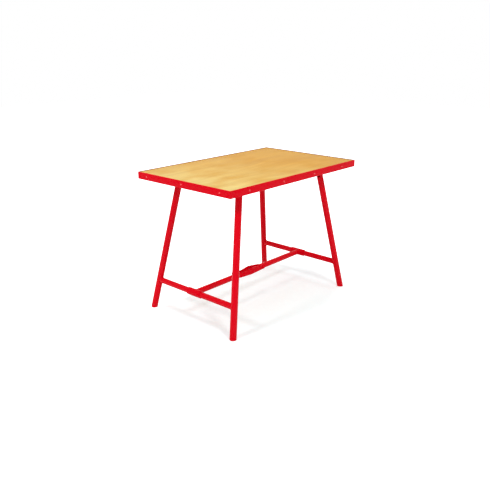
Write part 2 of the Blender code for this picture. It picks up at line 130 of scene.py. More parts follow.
def fit(name, shape, finish, body, *nodes, at=None, sharp=40):
    """Makes a piece of a shape, gives it a finish and a body, and hides the solids it stands for."""
    if at is not None:
        moved(shape, at)
    bmesh.ops.recalc_face_normals(shape, faces=shape.faces)
    mesh = bpy.data.meshes.new(name)
    shape.to_mesh(mesh)
    shape.free()
    mesh.materials.append(finish)
    mesh.shade_smooth()
    mesh.set_sharp_from_angle(angle=math.radians(sharp))
    piece = bpy.data.objects.new(name, mesh)
    bpy.context.scene.collection.objects.link(piece)
    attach(piece, body)
    if nodes:
        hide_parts(*nodes)
    return piece


def node_maker(tree):
    """A maker of nodes in a tree, which links an input that is given a socket and sets any other."""

    def node(kind, values=None, **settings):
        made = tree.nodes.new(kind)
        for key, value in settings.items():
            setattr(made, key, value)
        for key, value in (values or {}).items():
            if isinstance(value, bpy.types.NodeSocket):
                tree.links.new(value, made.inputs[key])
            else:
                made.inputs[key].default_value = value
        return made

    return node


def new_finish(name, roughness, metallic=0.0):
    """A material for a record slot, with its Principled shader, a node maker and a linker to the shader."""
    finish = bpy.data.materials.new(name)
    finish["slot"] = name
    finish.use_nodes = True
    tree = finish.node_tree
    shader = tree.nodes["Principled BSDF"]
    shader.inputs["Roughness"].default_value = roughness
    shader.inputs["Metallic"].default_value = metallic

    def link(output, entry):
        tree.links.new(output, shader.inputs[entry])

    return finish, shader, node_maker(tree), link


def noise(node, place, scale, detail=2.0, **values):
    """A noise texture at a place, with its value and its colour as outputs."""
    return node("ShaderNodeTexNoise", {"Vector": place, "Scale": scale, "Detail": detail, **values}).outputs


def blend(node, share, first, second):
    """A colour between two others."""
    return node("ShaderNodeMix", {"Factor": share, 6: first, 7: second}, data_type="RGBA").outputs[2]


def graded(node, value, start, end, low=0.0, high=1.0):
    """Runs from low to high while a value runs from start to end."""
    steps = {"Value": value, "From Min": start, "From Max": end, "To Min": low, "To Max": high}
    return node("ShaderNodeMapRange", steps).outputs["Result"]


def maths(node, operation, *values):
    """The result of an operation on single values."""
    return node("ShaderNodeMath", dict(enumerate(values)), operation=operation).outputs["Value"]


def roughened(node, height, strength, distance):
    """A normal that follows a height, for a grain too fine to be modelled."""
    grain = {"Height": height, "Strength": strength, "Distance": distance}
    return node("ShaderNodeBump", grain).outputs["Normal"]


def red_enamel(shades, specular, dull, bright, painted_shade_from=None):
    """Stoved enamel: a slow drift between two shades, a cloudy gloss and a fine orange peel.

    Faces that look in towards the middle of the bench are painted darker above a given level: painted shade
    in the slot between the board and the rim.
    """
    finish, shader, node, link = new_finish("red_enamel", dull)
    shader.inputs["Specular IOR Level"].default_value = specular
    place = node("ShaderNodeTexCoord").outputs["Object"]
    colour = blend(node, noise(node, place, scale=7.0, detail=3.0)["Fac"], *shades)
    # Painted shade: faces turned inwards above the level are blended towards a dark red, as if shaded in the
    # slot along the board.
    if painted_shade_from is not None:
        level = node("ShaderNodeSeparateXYZ", {0: place}).outputs["Z"]
        above = maths(node, "GREATER_THAN", level, painted_shade_from)
        level_only = {0: place, 1: (1, 1, 0)}
        outward = node("ShaderNodeVectorMath", level_only, operation="MULTIPLY").outputs["Vector"]
        facing = {0: node("ShaderNodeTexCoord").outputs["Normal"], 1: outward}
        outlook = node("ShaderNodeVectorMath", facing, operation="DOT_PRODUCT").outputs["Value"]
        inside = graded(node, outlook, -0.10, -0.25)
        colour = blend(node, maths(node, "MULTIPLY", above, inside), colour, PAINTED_SLOT_SHADE)
    link(colour, "Base Color")
    cloud = noise(node, place, scale=45.0, detail=4.0)["Fac"]
    link(graded(node, cloud, 0.0, 1.0, low=bright, high=dull), "Roughness")
    peel = noise(node, place, scale=520.0, detail=1.5)["Fac"]
    link(roughened(node, peel, strength=0.10, distance=0.0004), "Normal")
    return finish


board_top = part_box("worktop_board")[1].z
red = red_enamel(RED_SHADES, specular=0.03, dull=0.20, bright=0.12)
# The rims' finish paints shade on their inner faces just above the board.
rim_red_painted_shade = red_enamel(RED_SHADES, specular=0.03, dull=0.20, bright=0.12, painted_shade_from=board_top - PAINTED_SHADE_DEPTH)


def baked_mesh(thing):
    """The finished mesh of a curve, or of an object with modifiers, as a shape."""
    bpy.context.view_layer.update()
    mesh = bpy.data.meshes.new_from_object(thing.evaluated_get(bpy.context.evaluated_depsgraph_get()))
    shape = bmesh.new()
    shape.from_mesh(mesh)
    bpy.data.meshes.remove(mesh)
    return shape


def weld(name, points, size, body, closed=True):
    """A painted weld bead along points, with the low ripples of a laid run."""
    line = bpy.data.curves.new(name, "CURVE")
    line.dimensions = "3D"
    line.bevel_depth = size
    line.bevel_resolution = 2
    line.use_fill_caps = True
    run = line.splines.new("POLY")
    run.points.add(len(points) - 1)
    run.use_cyclic_u = closed
    for index, point in enumerate(points):
        run.points[index].co = (*point, 1.0)
        run.points[index].radius = 1.0 + WELD_RIPPLE * math.cos(index * WELD_RIPPLE_TURN)
    guide = bpy.data.objects.new(name + "_guide", line)
    bpy.context.scene.collection.objects.link(guide)
    bead = baked_mesh(guide)
    bpy.data.objects.remove(guide)
    bmesh.ops.remove_doubles(bead, verts=bead.verts, dist=1e-6)
    return fit(name, bead, red, body, sharp=70)


def angle_length(half, flange, bottom, top):
    """A mitred length of angle: X along it, Y inwards from its outer face."""
    section = rounded(
        [
            (0, bottom, ANGLE_HEEL),
            (flange, bottom, ANGLE_TOE / 2),
            (flange, bottom + ANGLE_WALL, ANGLE_TOE),
            (ANGLE_WALL, bottom + ANGLE_WALL, ANGLE_ROOT),
            (ANGLE_WALL, top, ANGLE_TOE),
            (0, top, ANGLE_TOE / 2),
        ]
    )
    ends = []
    for side in (-1, 1):
        ends.append([(side * (half - MITRE_GAP - inward), inward, level) for inward, level in section])
    return loft(ends)


rail_low, rail_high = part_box("front_rail")
top_corner = Vector((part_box("right_rail")[1].x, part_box("back_rail")[1].y, rail_high.z))
flange_width = rail_high.y - rail_low.y
for side, turn in (("front", 0), ("right", 90), ("back", 180), ("left", 270)):
    along_x = side in ("front", "back")
    half, out = (top_corner.x, top_corner.y) if along_x else (top_corner.y, top_corner.x)
    length = angle_length(half, flange_width, rail_low.z, rail_high.z)
    where = Matrix.Rotation(math.radians(turn), 4, "Z") @ Matrix.Translation((0, -out, 0))
    fit(f"{side}_angle", length, rim_red_painted_shade, "top", f"{side}_rail", at=where)

bead_start = 2 * ANGLE_HEEL
bead_run = flange_width - 3 * ANGLE_HEEL
bead_level = rail_low.z + CORNER_WELD / 3
for end, side_x in (("left", -1), ("right", 1)):
    for row, side_y in (("front", -1), ("back", 1)):
        bead = []
        for step in range(CORNER_WELD_STEPS + 1):
            inward = bead_start + bead_run * step / CORNER_WELD_STEPS
            bead.append((side_x * (top_corner.x - inward), side_y * (top_corner.y - inward), bead_level))
        weld(f"{end}_{row}_corner_weld", bead, CORNER_WELD, "top", closed=False)


# Worktop: a 34 mm multi-ply panel with a pale birch face, lightly oiled, eased along its edges.
# It drops into the frame with a little clearance all round and lies two millimetres below the rim.

PANEL_EASE = 0.0008
PLY_THICKNESS = 0.0027
SAPWOOD = ((0.660, 0.475, 0.160, 1.0), (0.765, 0.590, 0.220, 1.0))
HEARTWOOD = ((0.590, 0.305, 0.052, 1.0), (0.690, 0.385, 0.078, 1.0))
# The direction in which the face turns from pale sapwood to darker heartwood: partly the veneer's own tone,
# partly painted light and shade.
HEARTWOOD_AND_PAINTED_SHADE_SIDE = (1.0, 0.5, 0.0)
STAIN = (0.580, 0.275, 0.030, 1.0)
PORE = (0.42, 0.19, 0.045, 1.0)
PLIES = ((0.36, 0.17, 0.05, 1.0), (0.70, 0.42, 0.15, 1.0))
GRAIN_STRETCH = (1.1, 17.0, 17.0)
GRAIN_BEND = (0.5, 2.2, 0.0)
PATCH_STRETCH = (4.2, 6.5, 6.5)
PATCH_SHIFT = (9.2, -4.3, 3.8)
PORE_STRETCH = (30.0, 420.0, 420.0)


def stretched(node, place, scale, shift=(0.0, 0.0, 0.0)):
    """A place scaled along each axis and then shifted, to draw a texture out along the grain."""
    return node("ShaderNodeMapping", {"Vector": place, "Scale": scale, "Location": shift}).outputs["Vector"]


def birch_ply():
    """Long faint grain with slow blotches on the faces, and dark and light plies on the edges."""
    finish, shader, node, link = new_finish("plywood", 0.5)
    shader.inputs["Specular IOR Level"].default_value = 0.04
    place = node("ShaderNodeTexCoord").outputs["Object"]
    warp = noise(node, place, scale=2.3)
    sway = {0: warp["Color"], 1: GRAIN_BEND}
    bend = node("ShaderNodeVectorMath", sway, operation="MULTIPLY").outputs["Vector"]
    flow = node("ShaderNodeVectorMath", {0: stretched(node, place, GRAIN_STRETCH), 1: bend}).outputs["Vector"]
    grain = noise(node, flow, scale=1.9, detail=7.0, Roughness=0.62)["Fac"]
    streak = graded(node, grain, 0.30, 0.70)
    # The face pales towards the front left and darkens towards the back right: partly the veneer's own tone,
    # partly painted light on the near corner.
    lean = node("ShaderNodeVectorMath", {0: place, 1: HEARTWOOD_AND_PAINTED_SHADE_SIDE}, operation="DOT_PRODUCT").outputs["Value"]
    stray = maths(node, "MULTIPLY_ADD", warp["Fac"], 0.9, -0.45)
    heart_and_painted_shade = graded(node, maths(node, "ADD", lean, stray), -0.60, 0.15)
    wood = blend(node, heart_and_painted_shade, blend(node, streak, *SAPWOOD), blend(node, streak, *HEARTWOOD))
    blotch = noise(node, stretched(node, place, PATCH_STRETCH, PATCH_SHIFT), scale=1.0, detail=4.0)["Fac"]
    wood = blend(node, graded(node, blotch, 0.45, 0.72, high=0.70), wood, STAIN)
    fleck = noise(node, stretched(node, place, PORE_STRETCH), scale=1.0)["Fac"]
    wood = blend(node, graded(node, fleck, 0.60, 0.74, high=0.30), wood, PORE)
    height = node("ShaderNodeSeparateXYZ", {"Vector": place}).outputs["Z"]
    wave = maths(node, "SINE", maths(node, "MULTIPLY", height, math.pi / PLY_THICKNESS))
    edge = blend(node, graded(node, wave, -0.3, 0.3), *PLIES)
    facing = node("ShaderNodeNewGeometry").outputs["Normal"]
    upright = maths(node, "ABSOLUTE", node("ShaderNodeSeparateXYZ", {"Vector": facing}).outputs["Z"])
    link(blend(node, graded(node, upright, 0.3, 0.7), edge, wood), "Base Color")
    link(graded(node, grain, 0.0, 1.0, low=0.42, high=0.60), "Roughness")
    link(roughened(node, fleck, strength=0.10, distance=0.0003), "Normal")
    return finish


panel_low, panel_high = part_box("worktop_board")
panel = bmesh.new()
bmesh.ops.create_cube(panel, size=1.0)
panel_size = Matrix.Diagonal((*(panel_high - panel_low), 1.0))
moved(panel, Matrix.Translation((panel_low + panel_high) / 2) @ panel_size)
bmesh.ops.bevel(panel, geom=panel.edges, offset=PANEL_EASE, segments=3, profile=0.5, affect="EDGES")
fit("worktop_panel", panel, birch_ply(), "top", "worktop_board", sharp=50)


# Edge screws: pan-head wood screws through the frame into the panel's edge, painted over with it.
# Each has a domed head with a hexagon socket, and its shank is out of sight.

# The screws' red is lighter than the frame's: a painted highlight on the domed heads.
SCREW_PAINTED_HIGHLIGHT_SHADES = ((0.86, 0.060, 0.070, 1.0), (0.96, 0.090, 0.100, 1.0))
SCREW_SHANK = 0.0018
SCREW_SOCKET = 0.0013
SCREW_SOCKET_DEPTH = 0.0012
SCREW_SOCKET_MOUTH = 1.12 * SCREW_SOCKET
SCREW_SOCKET_LIP = 0.97
SOCKET_CENTRE = 0.2
HEAD_RIM = 0.15
OUTWARD = {"front": (0, -1, 0), "back": (0, 1, 0), "left": (-1, 0, 0), "right": (1, 0, 0)}

# Glossy red enamel whose lighter base colour is a painted highlight.
screw_red_painted_highlight = red_enamel(SCREW_PAINTED_HIGHLIGHT_SHADES, specular=0.50, dull=0.30, bright=0.20)


def ring_angles(sides):
    """Even angles round a ring."""
    return [2 * math.pi * step / sides for step in range(sides)]


def turned(profile, sides=32, closed=False):
    """A shape turned about Z from (radius, z) points; a third value of True makes a hexagon."""
    rings = []
    for radius, level, *hexagon in profile:
        ring = []
        for angle in ring_angles(sides):
            reach = radius
            if hexagon:
                reach /= math.cos((angle + math.pi / 6) % (math.pi / 3) - math.pi / 6)
            ring.append((reach * math.cos(angle), reach * math.sin(angle), level))
        rings.append(ring)
    return loft(rings, closed)


def dome(radius, height, angles):
    """(radius, z) points of a rounded head on a low straight rim, at angles up from the rim."""
    points = []
    for degrees in angles:
        angle = math.radians(degrees)
        points.append((radius * math.cos(angle), height * (HEAD_RIM + (1 - HEAD_RIM) * math.sin(angle))))
    return points


def towards(point, direction):
    """Places a shape at a point, with its Z axis turned to the direction and its X axis level."""
    z_axis = Vector(direction).normalized()
    x_axis = Vector((0, 0, 1)).cross(z_axis)
    if x_axis.length < 1e-6:
        x_axis = Vector((1, 0, 0))
    x_axis.normalize()
    turn = Matrix((x_axis, z_axis.cross(x_axis), z_axis)).transposed().to_4x4()
    return Matrix.Translation(point) @ turn


for node_name in [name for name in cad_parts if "_screw_" in name]:
    low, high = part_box(node_name)
    centre = (low + high) / 2
    outward = Vector(OUTWARD[node_name.split("_")[0]])
    head_radius = (high.z - low.z) / 2
    face = top_corner.x if outward.x else top_corner.y
    rise = centre.dot(outward) + abs((high - low).dot(outward)) / 2 - face
    seat = centre + outward * (face - centre.dot(outward))
    floor = rise - SCREW_SOCKET_DEPTH
    profile = [(SCREW_SHANK, -ANGLE_WALL), (SCREW_SHANK, 0), (head_radius, 0)]
    profile += dome(head_radius, rise, range(0, 61, 15))
    profile += [(SCREW_SOCKET_MOUTH, rise), (SCREW_SOCKET, rise * SCREW_SOCKET_LIP, True)]
    profile += [(SCREW_SOCKET, floor, True), (SCREW_SOCKET * SOCKET_CENTRE, floor)]
    fit(f"{node_name}_head", turned(profile, 36), screw_red_painted_highlight, "top", node_name, at=towards(seat, outward))


# Pivot brackets: 3 mm strip bent into a channel, with round cheeks and a lip on both sides.
# Each butts against the edge of the frame's flange, under the panel, and is welded there.

BRACKET_STRIP = 0.003
BRACKET_HALF = 0.014
BEND_OUTSIDE = 0.0035
BEND_INSIDE = 0.0008
BRACKET_WELD = 0.0015
BRACKET_WELD_STEPS = 10
BRACKET_WELD_SHARE = 0.9
CUT_OVER = 0.001
PIVOT_RADIUS = 0.005
RUNNING_GAP = 0.0003


def prism(outline, thickness):
    """An outline in XY, extruded along Z."""
    return loft([[(x, y, 0) for x, y in outline], [(x, y, thickness) for x, y in outline]])


def rod(radius, length):
    """A round bar along Z, to cut a hole with."""
    return turned([(radius, 0), (radius, length)])


def arc(x, y, radius, start, end, steps):
    """Points round a centre, from one angle in degrees to another."""
    points = []
    for step in range(steps + 1):
        angle = math.radians(start + (end - start) * step / steps)
        points.append((x + radius * math.cos(angle), y + radius * math.sin(angle)))
    return points


def carve(shape, *tools):
    """Cuts a shape with (operation, tool shape) pairs, in order."""
    block = bpy.data.objects.new("carved_block", bpy.data.meshes.new("carved_block"))
    bpy.context.scene.collection.objects.link(block)
    helpers = [block]
    for index, (operation, tool) in enumerate([("", shape), *tools]):
        bmesh.ops.recalc_face_normals(tool, faces=tool.faces)
        holder = block
        if index:
            holder = bpy.data.objects.new("carving_tool", bpy.data.meshes.new("carving_tool"))
            bpy.context.scene.collection.objects.link(holder)
            helpers.append(holder)
            cut = block.modifiers.new("cut", "BOOLEAN")
            cut.operation = operation
            cut.solver = "EXACT"
            cut.object = holder
        tool.to_mesh(holder.data)
        tool.free()
    carved = baked_mesh(block)
    bmesh.ops.remove_doubles(carved, verts=carved.verts, dist=2e-6)
    for helper in helpers:
        bpy.data.objects.remove(helper)
    return carved


for node_name in [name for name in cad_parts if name.endswith("_bracket")]:
    low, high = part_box(node_name)
    pin_low, pin_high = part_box(node_name.replace("bracket", "pivot_pin"))
    pivot = (pin_low + pin_high) / 2
    side_y = 1 if pivot.y > 0 else -1
    reach_out = max(abs(low.y), abs(high.y)) - abs(pivot.y)
    reach_in = abs(pivot.y) - min(abs(low.y), abs(high.y))
    cheek = (high.x - low.x) / 2
    under = high.z - BRACKET_STRIP - pivot.z
    section = rounded(
        [
            (-BRACKET_HALF, -cheek, 0),
            (BRACKET_STRIP - BRACKET_HALF, -cheek, 0),
            (BRACKET_STRIP - BRACKET_HALF, under, BEND_INSIDE),
            (BRACKET_HALF - BRACKET_STRIP, under, BEND_INSIDE),
            (BRACKET_HALF - BRACKET_STRIP, -cheek, 0),
            (BRACKET_HALF, -cheek, 0),
            (BRACKET_HALF, under, BEND_OUTSIDE),
            (reach_out, under, 0),
            (reach_out, under + BRACKET_STRIP, 0),
            (-reach_in, under + BRACKET_STRIP, 0),
            (-reach_in, under, 0),
            (-BRACKET_HALF, under, BEND_OUTSIDE),
        ]
    )
    channel = prism([(side_y * y, z) for y, z in section], 2 * cheek)
    moved(channel, towards(pivot - Vector((cheek, 0, 0)), (1, 0, 0)))
    tongue = arc(0, 0, cheek, 180, 360, 18)
    tongue += [(cheek + CUT_OVER, 2 * under), (-cheek - CUT_OVER, 2 * under)]
    span = 4 * reach_out
    across = towards(pivot - Vector((0, span / 2, 0)), (0, 1, 0))
    round_end = moved(prism(tongue, span), across)
    hole = moved(rod(PIVOT_RADIUS + RUNNING_GAP, span), across)
    channel = carve(channel, ("INTERSECT", round_end), ("DIFFERENCE", hole))
    fit(f"{node_name}_channel", channel, red, "top", node_name, sharp=30)
    bead_half = BRACKET_WELD_SHARE * cheek
    bead_y = pivot.y + side_y * reach_out
    bead_z = high.z - BRACKET_STRIP - BRACKET_WELD / 4
    bead = []
    for step in range(BRACKET_WELD_STEPS + 1):
        bead.append((pivot.x - bead_half + 2 * bead_half * step / BRACKET_WELD_STEPS, bead_y, bead_z))
    weld(f"{node_name}_weld", bead, BRACKET_WELD, "top", closed=False)


# Pivot pins: 10 mm steel pins through the bracket's cheeks and the leg's fork.
# Both ends are headed over like a rivet, and the pins are enamelled with the frame.

PIN_HEAD = 0.003
HEAD_CENTRE = 0.02


def headed(radius, half_span, head_radius, head_height):
    """A pin about Z = 0 with a domed head on both ends."""
    half = []
    for ring, rise in dome(head_radius, head_height, range(90, -1, -15)):
        half.append((max(ring, head_radius * HEAD_CENTRE), -half_span - rise))
    half += [(head_radius, -half_span), (radius, -half_span)]
    return turned(half + [(ring, -level) for ring, level in reversed(half)])


for node_name in [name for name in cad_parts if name.endswith("_pivot_pin")]:
    low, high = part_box(node_name)
    head_radius = (high.z - low.z) / 2
    half_span = (high.y - low.y) / 2 - PIN_HEAD
    pin = headed(PIVOT_RADIUS, half_span, head_radius, PIN_HEAD)
    fit(f"{node_name}_headed", pin, red, "top", node_name, at=towards((low + high) / 2, (0, 1, 0)))


# Legs: 38.5 mm round tube, forked and rounded at the top where it straddles its bracket.
# The foot is cut level with the floor and closed by a plate that is welded in flush.

LEG_RADIUS = 0.01925
LEG_BORE = 0.01675
LEG_SIDES = 72
LEG_STATIONS = (0.0, 0.03, 0.05, 0.2, 0.4, 0.55, 0.7)
LEG_BELOW_PIVOT = 0.9
SPLAY_X = math.radians(11.35)
SPLAY_Y = math.radians(6.97)
EAR_RISE = 0.012
EAR_ROUND = 0.007
SHOULDER_DROP = 0.0099
SHOULDER_ROUND = 0.004
FORK_GAP = 0.0005
FORK_DEPTH = 0.0165
FORK_ROUND = 0.0150
FORK_ARC = (-90, -42)
FORK_CUT = 0.2
PIVOT_DRILL = 0.04
FOOT_EASE = 0.0007
FOOT_EASE_STATIONS = ((0.0, 2.0), (0.3, 0.6), (1.0, 0.0))
FOOT_PLATE = 0.010
FOOT_PLATE_GAP = 0.0002
FOOT_PLATE_EASE = 0.0008
FOOT_PLATE_CENTRE = 0.002
FOOT_PLATE_SIDES = 48

tube_red = red_enamel(RED_SHADES, specular=0.06, dull=0.22, bright=0.14)


def leg_axis(side_x, side_y):
    """The direction of a leg, down and outwards."""
    return Vector((side_x * math.tan(SPLAY_X), side_y * math.tan(SPLAY_Y), -1)).normalized()


def square_ring(radius, distance, top, down, sides=LEG_SIDES):
    """A ring round a leg, square to it, at a distance from its top."""
    turn = towards(top, down)
    return [turn @ Vector((radius * math.cos(a), radius * math.sin(a), distance)) for a in ring_angles(sides)]


def level_ring(radius, height, top, down, sides=LEG_SIDES):
    """A ring round a leaning leg, cut at a level height."""
    square = square_ring(radius, 0, top, down, sides)
    return [point + down * (height - point.z) / down.z for point in square]


for node_name in [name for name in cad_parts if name.endswith("_leg")]:
    label = node_name[: -len("_leg")]
    body = label.split("_")[0] + "_legs"
    pin_low, pin_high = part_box(label + "_pivot_pin")
    pivot = (pin_low + pin_high) / 2
    side_x = 1 if pivot.x > 0 else -1
    side_y = 1 if pivot.y > 0 else -1
    down = leg_axis(side_x, side_y)
    top = pivot - down * EAR_RISE
    outside = [square_ring(LEG_RADIUS, distance, top, down) for distance in LEG_STATIONS]
    for inset, level in FOOT_EASE_STATIONS:
        outside.append(level_ring(LEG_RADIUS - inset * FOOT_EASE, level * FOOT_EASE, top, down))
    inside = [level_ring(LEG_BORE, 0.0, top, down)]
    inside += [square_ring(LEG_BORE, distance, top, down) for distance in reversed(LEG_STATIONS)]
    tube = loft(outside + inside, closed=True)

    # The cuts are drawn side on, about the pivot and in line with the leg.
    lean = Matrix.Rotation(-side_x * SPLAY_X, 4, "Z")
    wide = 2 * LEG_RADIUS
    outer = -side_x
    slot_half = BRACKET_HALF + FORK_GAP
    slot_line = [(-outer * wide, wide), (-outer * wide, -FORK_DEPTH), (0, -FORK_DEPTH)]
    slot_line += [(outer * x, y) for x, y in arc(0, 0, FORK_ROUND, *FORK_ARC, 4)]
    slot_line += [(outer * wide, slot_line[-1][1]), (outer * wide, wide)]
    slot_place = towards(pivot - Vector((0, slot_half, 0)), (0, 1, 0)) @ lean
    slot = moved(prism(slot_line, 2 * slot_half), slot_place)
    ear = math.sqrt(LEG_RADIUS**2 - slot_half**2)
    ears = [
        (-wide, -FORK_DEPTH, 0),
        (-ear, -SHOULDER_DROP, SHOULDER_ROUND),
        (-ear, EAR_RISE, EAR_ROUND),
        (ear, EAR_RISE, EAR_ROUND),
        (ear, -SHOULDER_DROP, SHOULDER_ROUND),
        (wide, -FORK_DEPTH, 0),
        (wide, -LEG_BELOW_PIVOT, 0),
        (-wide, -LEG_BELOW_PIVOT, 0),
    ]
    keep_place = towards(pivot - Vector((0, FORK_CUT, 0)), (0, 1, 0)) @ lean
    keep = moved(prism(rounded(ears), 2 * FORK_CUT), keep_place)
    hole_place = towards(pivot - Vector((0, PIVOT_DRILL, 0)), (0, 1, 0))
    hole = moved(rod(PIVOT_RADIUS + RUNNING_GAP, 2 * PIVOT_DRILL), hole_place)
    tube = carve(tube, ("DIFFERENCE", slot), ("INTERSECT", keep), ("DIFFERENCE", hole))
    fit(f"{label}_leg_tube", tube, tube_red, body, node_name, sharp=30)

    plate_radius = LEG_BORE - FOOT_PLATE_GAP
    profile = [
        (plate_radius, FOOT_PLATE),
        (plate_radius, FOOT_PLATE_EASE),
        (LEG_BORE - 2 * FOOT_PLATE_EASE, FOOT_PLATE_EASE / 4),
        (FOOT_PLATE_CENTRE, 0.0),
    ]
    plate = loft([level_ring(radius, level, top, down, FOOT_PLATE_SIDES) for radius, level in profile])
    fit(f"{label}_foot_disc", plate, red, body, f"{label}_foot_plate", sharp=30)


# Cross-rails: 34 mm tube between the two legs of an end, coped to fit them and welded all round.
# Two collars with grub screws keep the brace's sleeve in the middle.

RAIL_RADIUS = 0.017
RAIL_SIDES = 64
RAIL_STATION = 0.2
SADDLE_WELD = 0.0022
SADDLE_WELD_OUT = 1.04
COLLAR_GAP = 0.0001
COLLAR_EASE = 0.0008
GRUB_RADIUS = 0.003
GRUB_SOCKET = 0.0015
GRUB_HEIGHT = 0.0009
GRUB_EASE = 0.0003
GRUB_CROWN = 0.85
GRUB_FLOOR = 0.0001
GRUB_SINK = 0.0003
ZINC_SHADES = ((0.50, 0.50, 0.48, 1.0), (0.66, 0.66, 0.63, 1.0))


def zinc_plate():
    """Bright zinc: cloudy gloss with a fine brushed grain."""
    finish, _, node, link = new_finish("zinc", 0.35, metallic=1.0)
    place = node("ShaderNodeTexCoord").outputs["Object"]
    cloud = noise(node, place, scale=160.0, detail=3.0)["Fac"]
    link(blend(node, cloud, *ZINC_SHADES), "Base Color")
    link(graded(node, cloud, 0.0, 1.0, low=0.26, high=0.46), "Roughness")
    scratch = noise(node, place, scale=1400.0, detail=1.0)["Fac"]
    link(roughened(node, scratch, strength=0.08, distance=0.0002), "Normal")
    return finish


zinc = zinc_plate()


def tube_ring(bore, radius, length, ease, sides=RAIL_SIDES):
    """A short length of tube along Z with its outer rims eased."""
    profile = [
        (bore, 0),
        (radius - ease, 0),
        (radius, ease),
        (radius, length - ease),
        (radius - ease, length),
        (bore, length),
    ]
    return turned(profile, sides, closed=True)


def coped_end(centre, offsets, end, row, out=1.0):
    """The ring where lines along a cross-rail, at offsets round its centre line, meet a leg's surface."""
    side_x = -1 if end == "left" else 1
    side_y = -1 if row == "front" else 1
    down = leg_axis(side_x, side_y)
    pin_low, pin_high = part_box(f"{end}_{row}_pivot_pin")
    step = Vector((0, side_y, 0))
    across = step - down * step.dot(down)
    a = across.dot(across)
    ring = []
    for x, z in offsets:
        line = Vector((centre.x + x * out, 0, centre.z + z * out))
        start = line - (pin_low + pin_high) / 2
        beside = start - down * start.dot(down)
        b = 2 * across.dot(beside)
        c = beside.dot(beside) - LEG_RADIUS * LEG_RADIUS
        reach = (-b - math.sqrt(b * b - 4 * a * c)) / (2 * a)
        ring.append(line + step * reach)
    return ring


rail_round = [(RAIL_RADIUS * math.cos(a), RAIL_RADIUS * math.sin(a)) for a in ring_angles(RAIL_SIDES)]
for end in ("left", "right"):
    low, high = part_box(f"{end}_cross_rail")
    centre = (low + high) / 2
    body = f"{end}_legs"
    rings = [coped_end(centre, rail_round, end, "front")]
    for y in (-RAIL_STATION, 0.0, RAIL_STATION):
        rings.append([(centre.x + x, y, centre.z + z) for x, z in rail_round])
    rings.append(coped_end(centre, rail_round, end, "back"))
    fit(f"{end}_cross_tube", loft(rings), tube_red, body, f"{end}_cross_rail")
    for row in ("front", "back"):
        bead = coped_end(centre, rail_round, end, row, SADDLE_WELD_OUT)
        weld(f"{end}_{row}_saddle_weld", bead, SADDLE_WELD, body)
        low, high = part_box(f"{end}_{row}_collar")
        collar_radius = (high.z - low.z) / 2
        collar = tube_ring(RAIL_RADIUS + COLLAR_GAP, collar_radius, high.y - low.y, COLLAR_EASE)
        seat = Vector((centre.x, low.y, centre.z))
        fit(f"{end}_{row}_collar_ring", collar, red, body, f"{end}_{row}_collar", at=towards(seat, (0, 1, 0)))
        profile = [
            (GRUB_RADIUS, 0),
            (GRUB_RADIUS, GRUB_HEIGHT - GRUB_EASE),
            (GRUB_RADIUS * GRUB_CROWN, GRUB_HEIGHT),
            (GRUB_SOCKET, GRUB_HEIGHT, True),
            (GRUB_SOCKET, GRUB_FLOOR, True),
            (GRUB_SOCKET * SOCKET_CENTRE, GRUB_FLOOR),
        ]
        seat = Vector((centre.x, (low.y + high.y) / 2, centre.z - collar_radius + GRUB_SINK))
        fit(f"{end}_{row}_grub_screw", turned(profile, 24), zinc, body, at=towards(seat, (0, 0, -1)))


# Half braces: a short sleeve turns on each cross-rail, and a 33.7 mm tube is coped and welded to it.
# The tubes run to the middle of the bench, where a pressed cap closes each one, and all is enamelled.

SLEEVE_EASE = 0.0010
BRACE_RADIUS = 0.01685
BRACE_BORE = 0.01425
BRACE_BORE_DEPTH = 0.05
BRACE_STATIONS = (0.3, 0.6, 0.8)
BRACE_WELD = 0.0022
BRACE_WELD_OUT = 1.05
BRACE_WELD_CREST = 0.98
MOUTH_EASE = 0.0005
CAP_LIP = 0.002
CAP_DEPTH = 0.010
CAP_DISH = 0.0006
CAP_GAP = 0.0002
CAP_ROUND = ((CAP_GAP, 0.0012), (0.0010, 0.0003), (0.0028, 0.0), (0.0050, CAP_DISH))
CAP_CENTRE = 0.001
CAP_SIDES = 48
HINGE_RADIUS = 0.005
PLUNGER_RADIUS = 0.004
BRACE_DRILL = 0.08

CAP_PROFILE = [
    (BRACE_BORE - 2 * CAP_GAP, 0),
    (BRACE_BORE - CAP_GAP, CAP_DEPTH - CAP_LIP - CAP_GAP),
    (BRACE_RADIUS - CAP_GAP, CAP_DEPTH - CAP_LIP),
    *[(BRACE_RADIUS - inset, CAP_DEPTH - drop) for inset, drop in CAP_ROUND],
    (CAP_CENTRE, CAP_DEPTH - CAP_DISH),
]


def brace_ring(x, level, radius=BRACE_RADIUS):
    """A ring about a line along X at a level."""
    return [(x, radius * math.cos(a), level + radius * math.sin(a)) for a in ring_angles(RAIL_SIDES)]


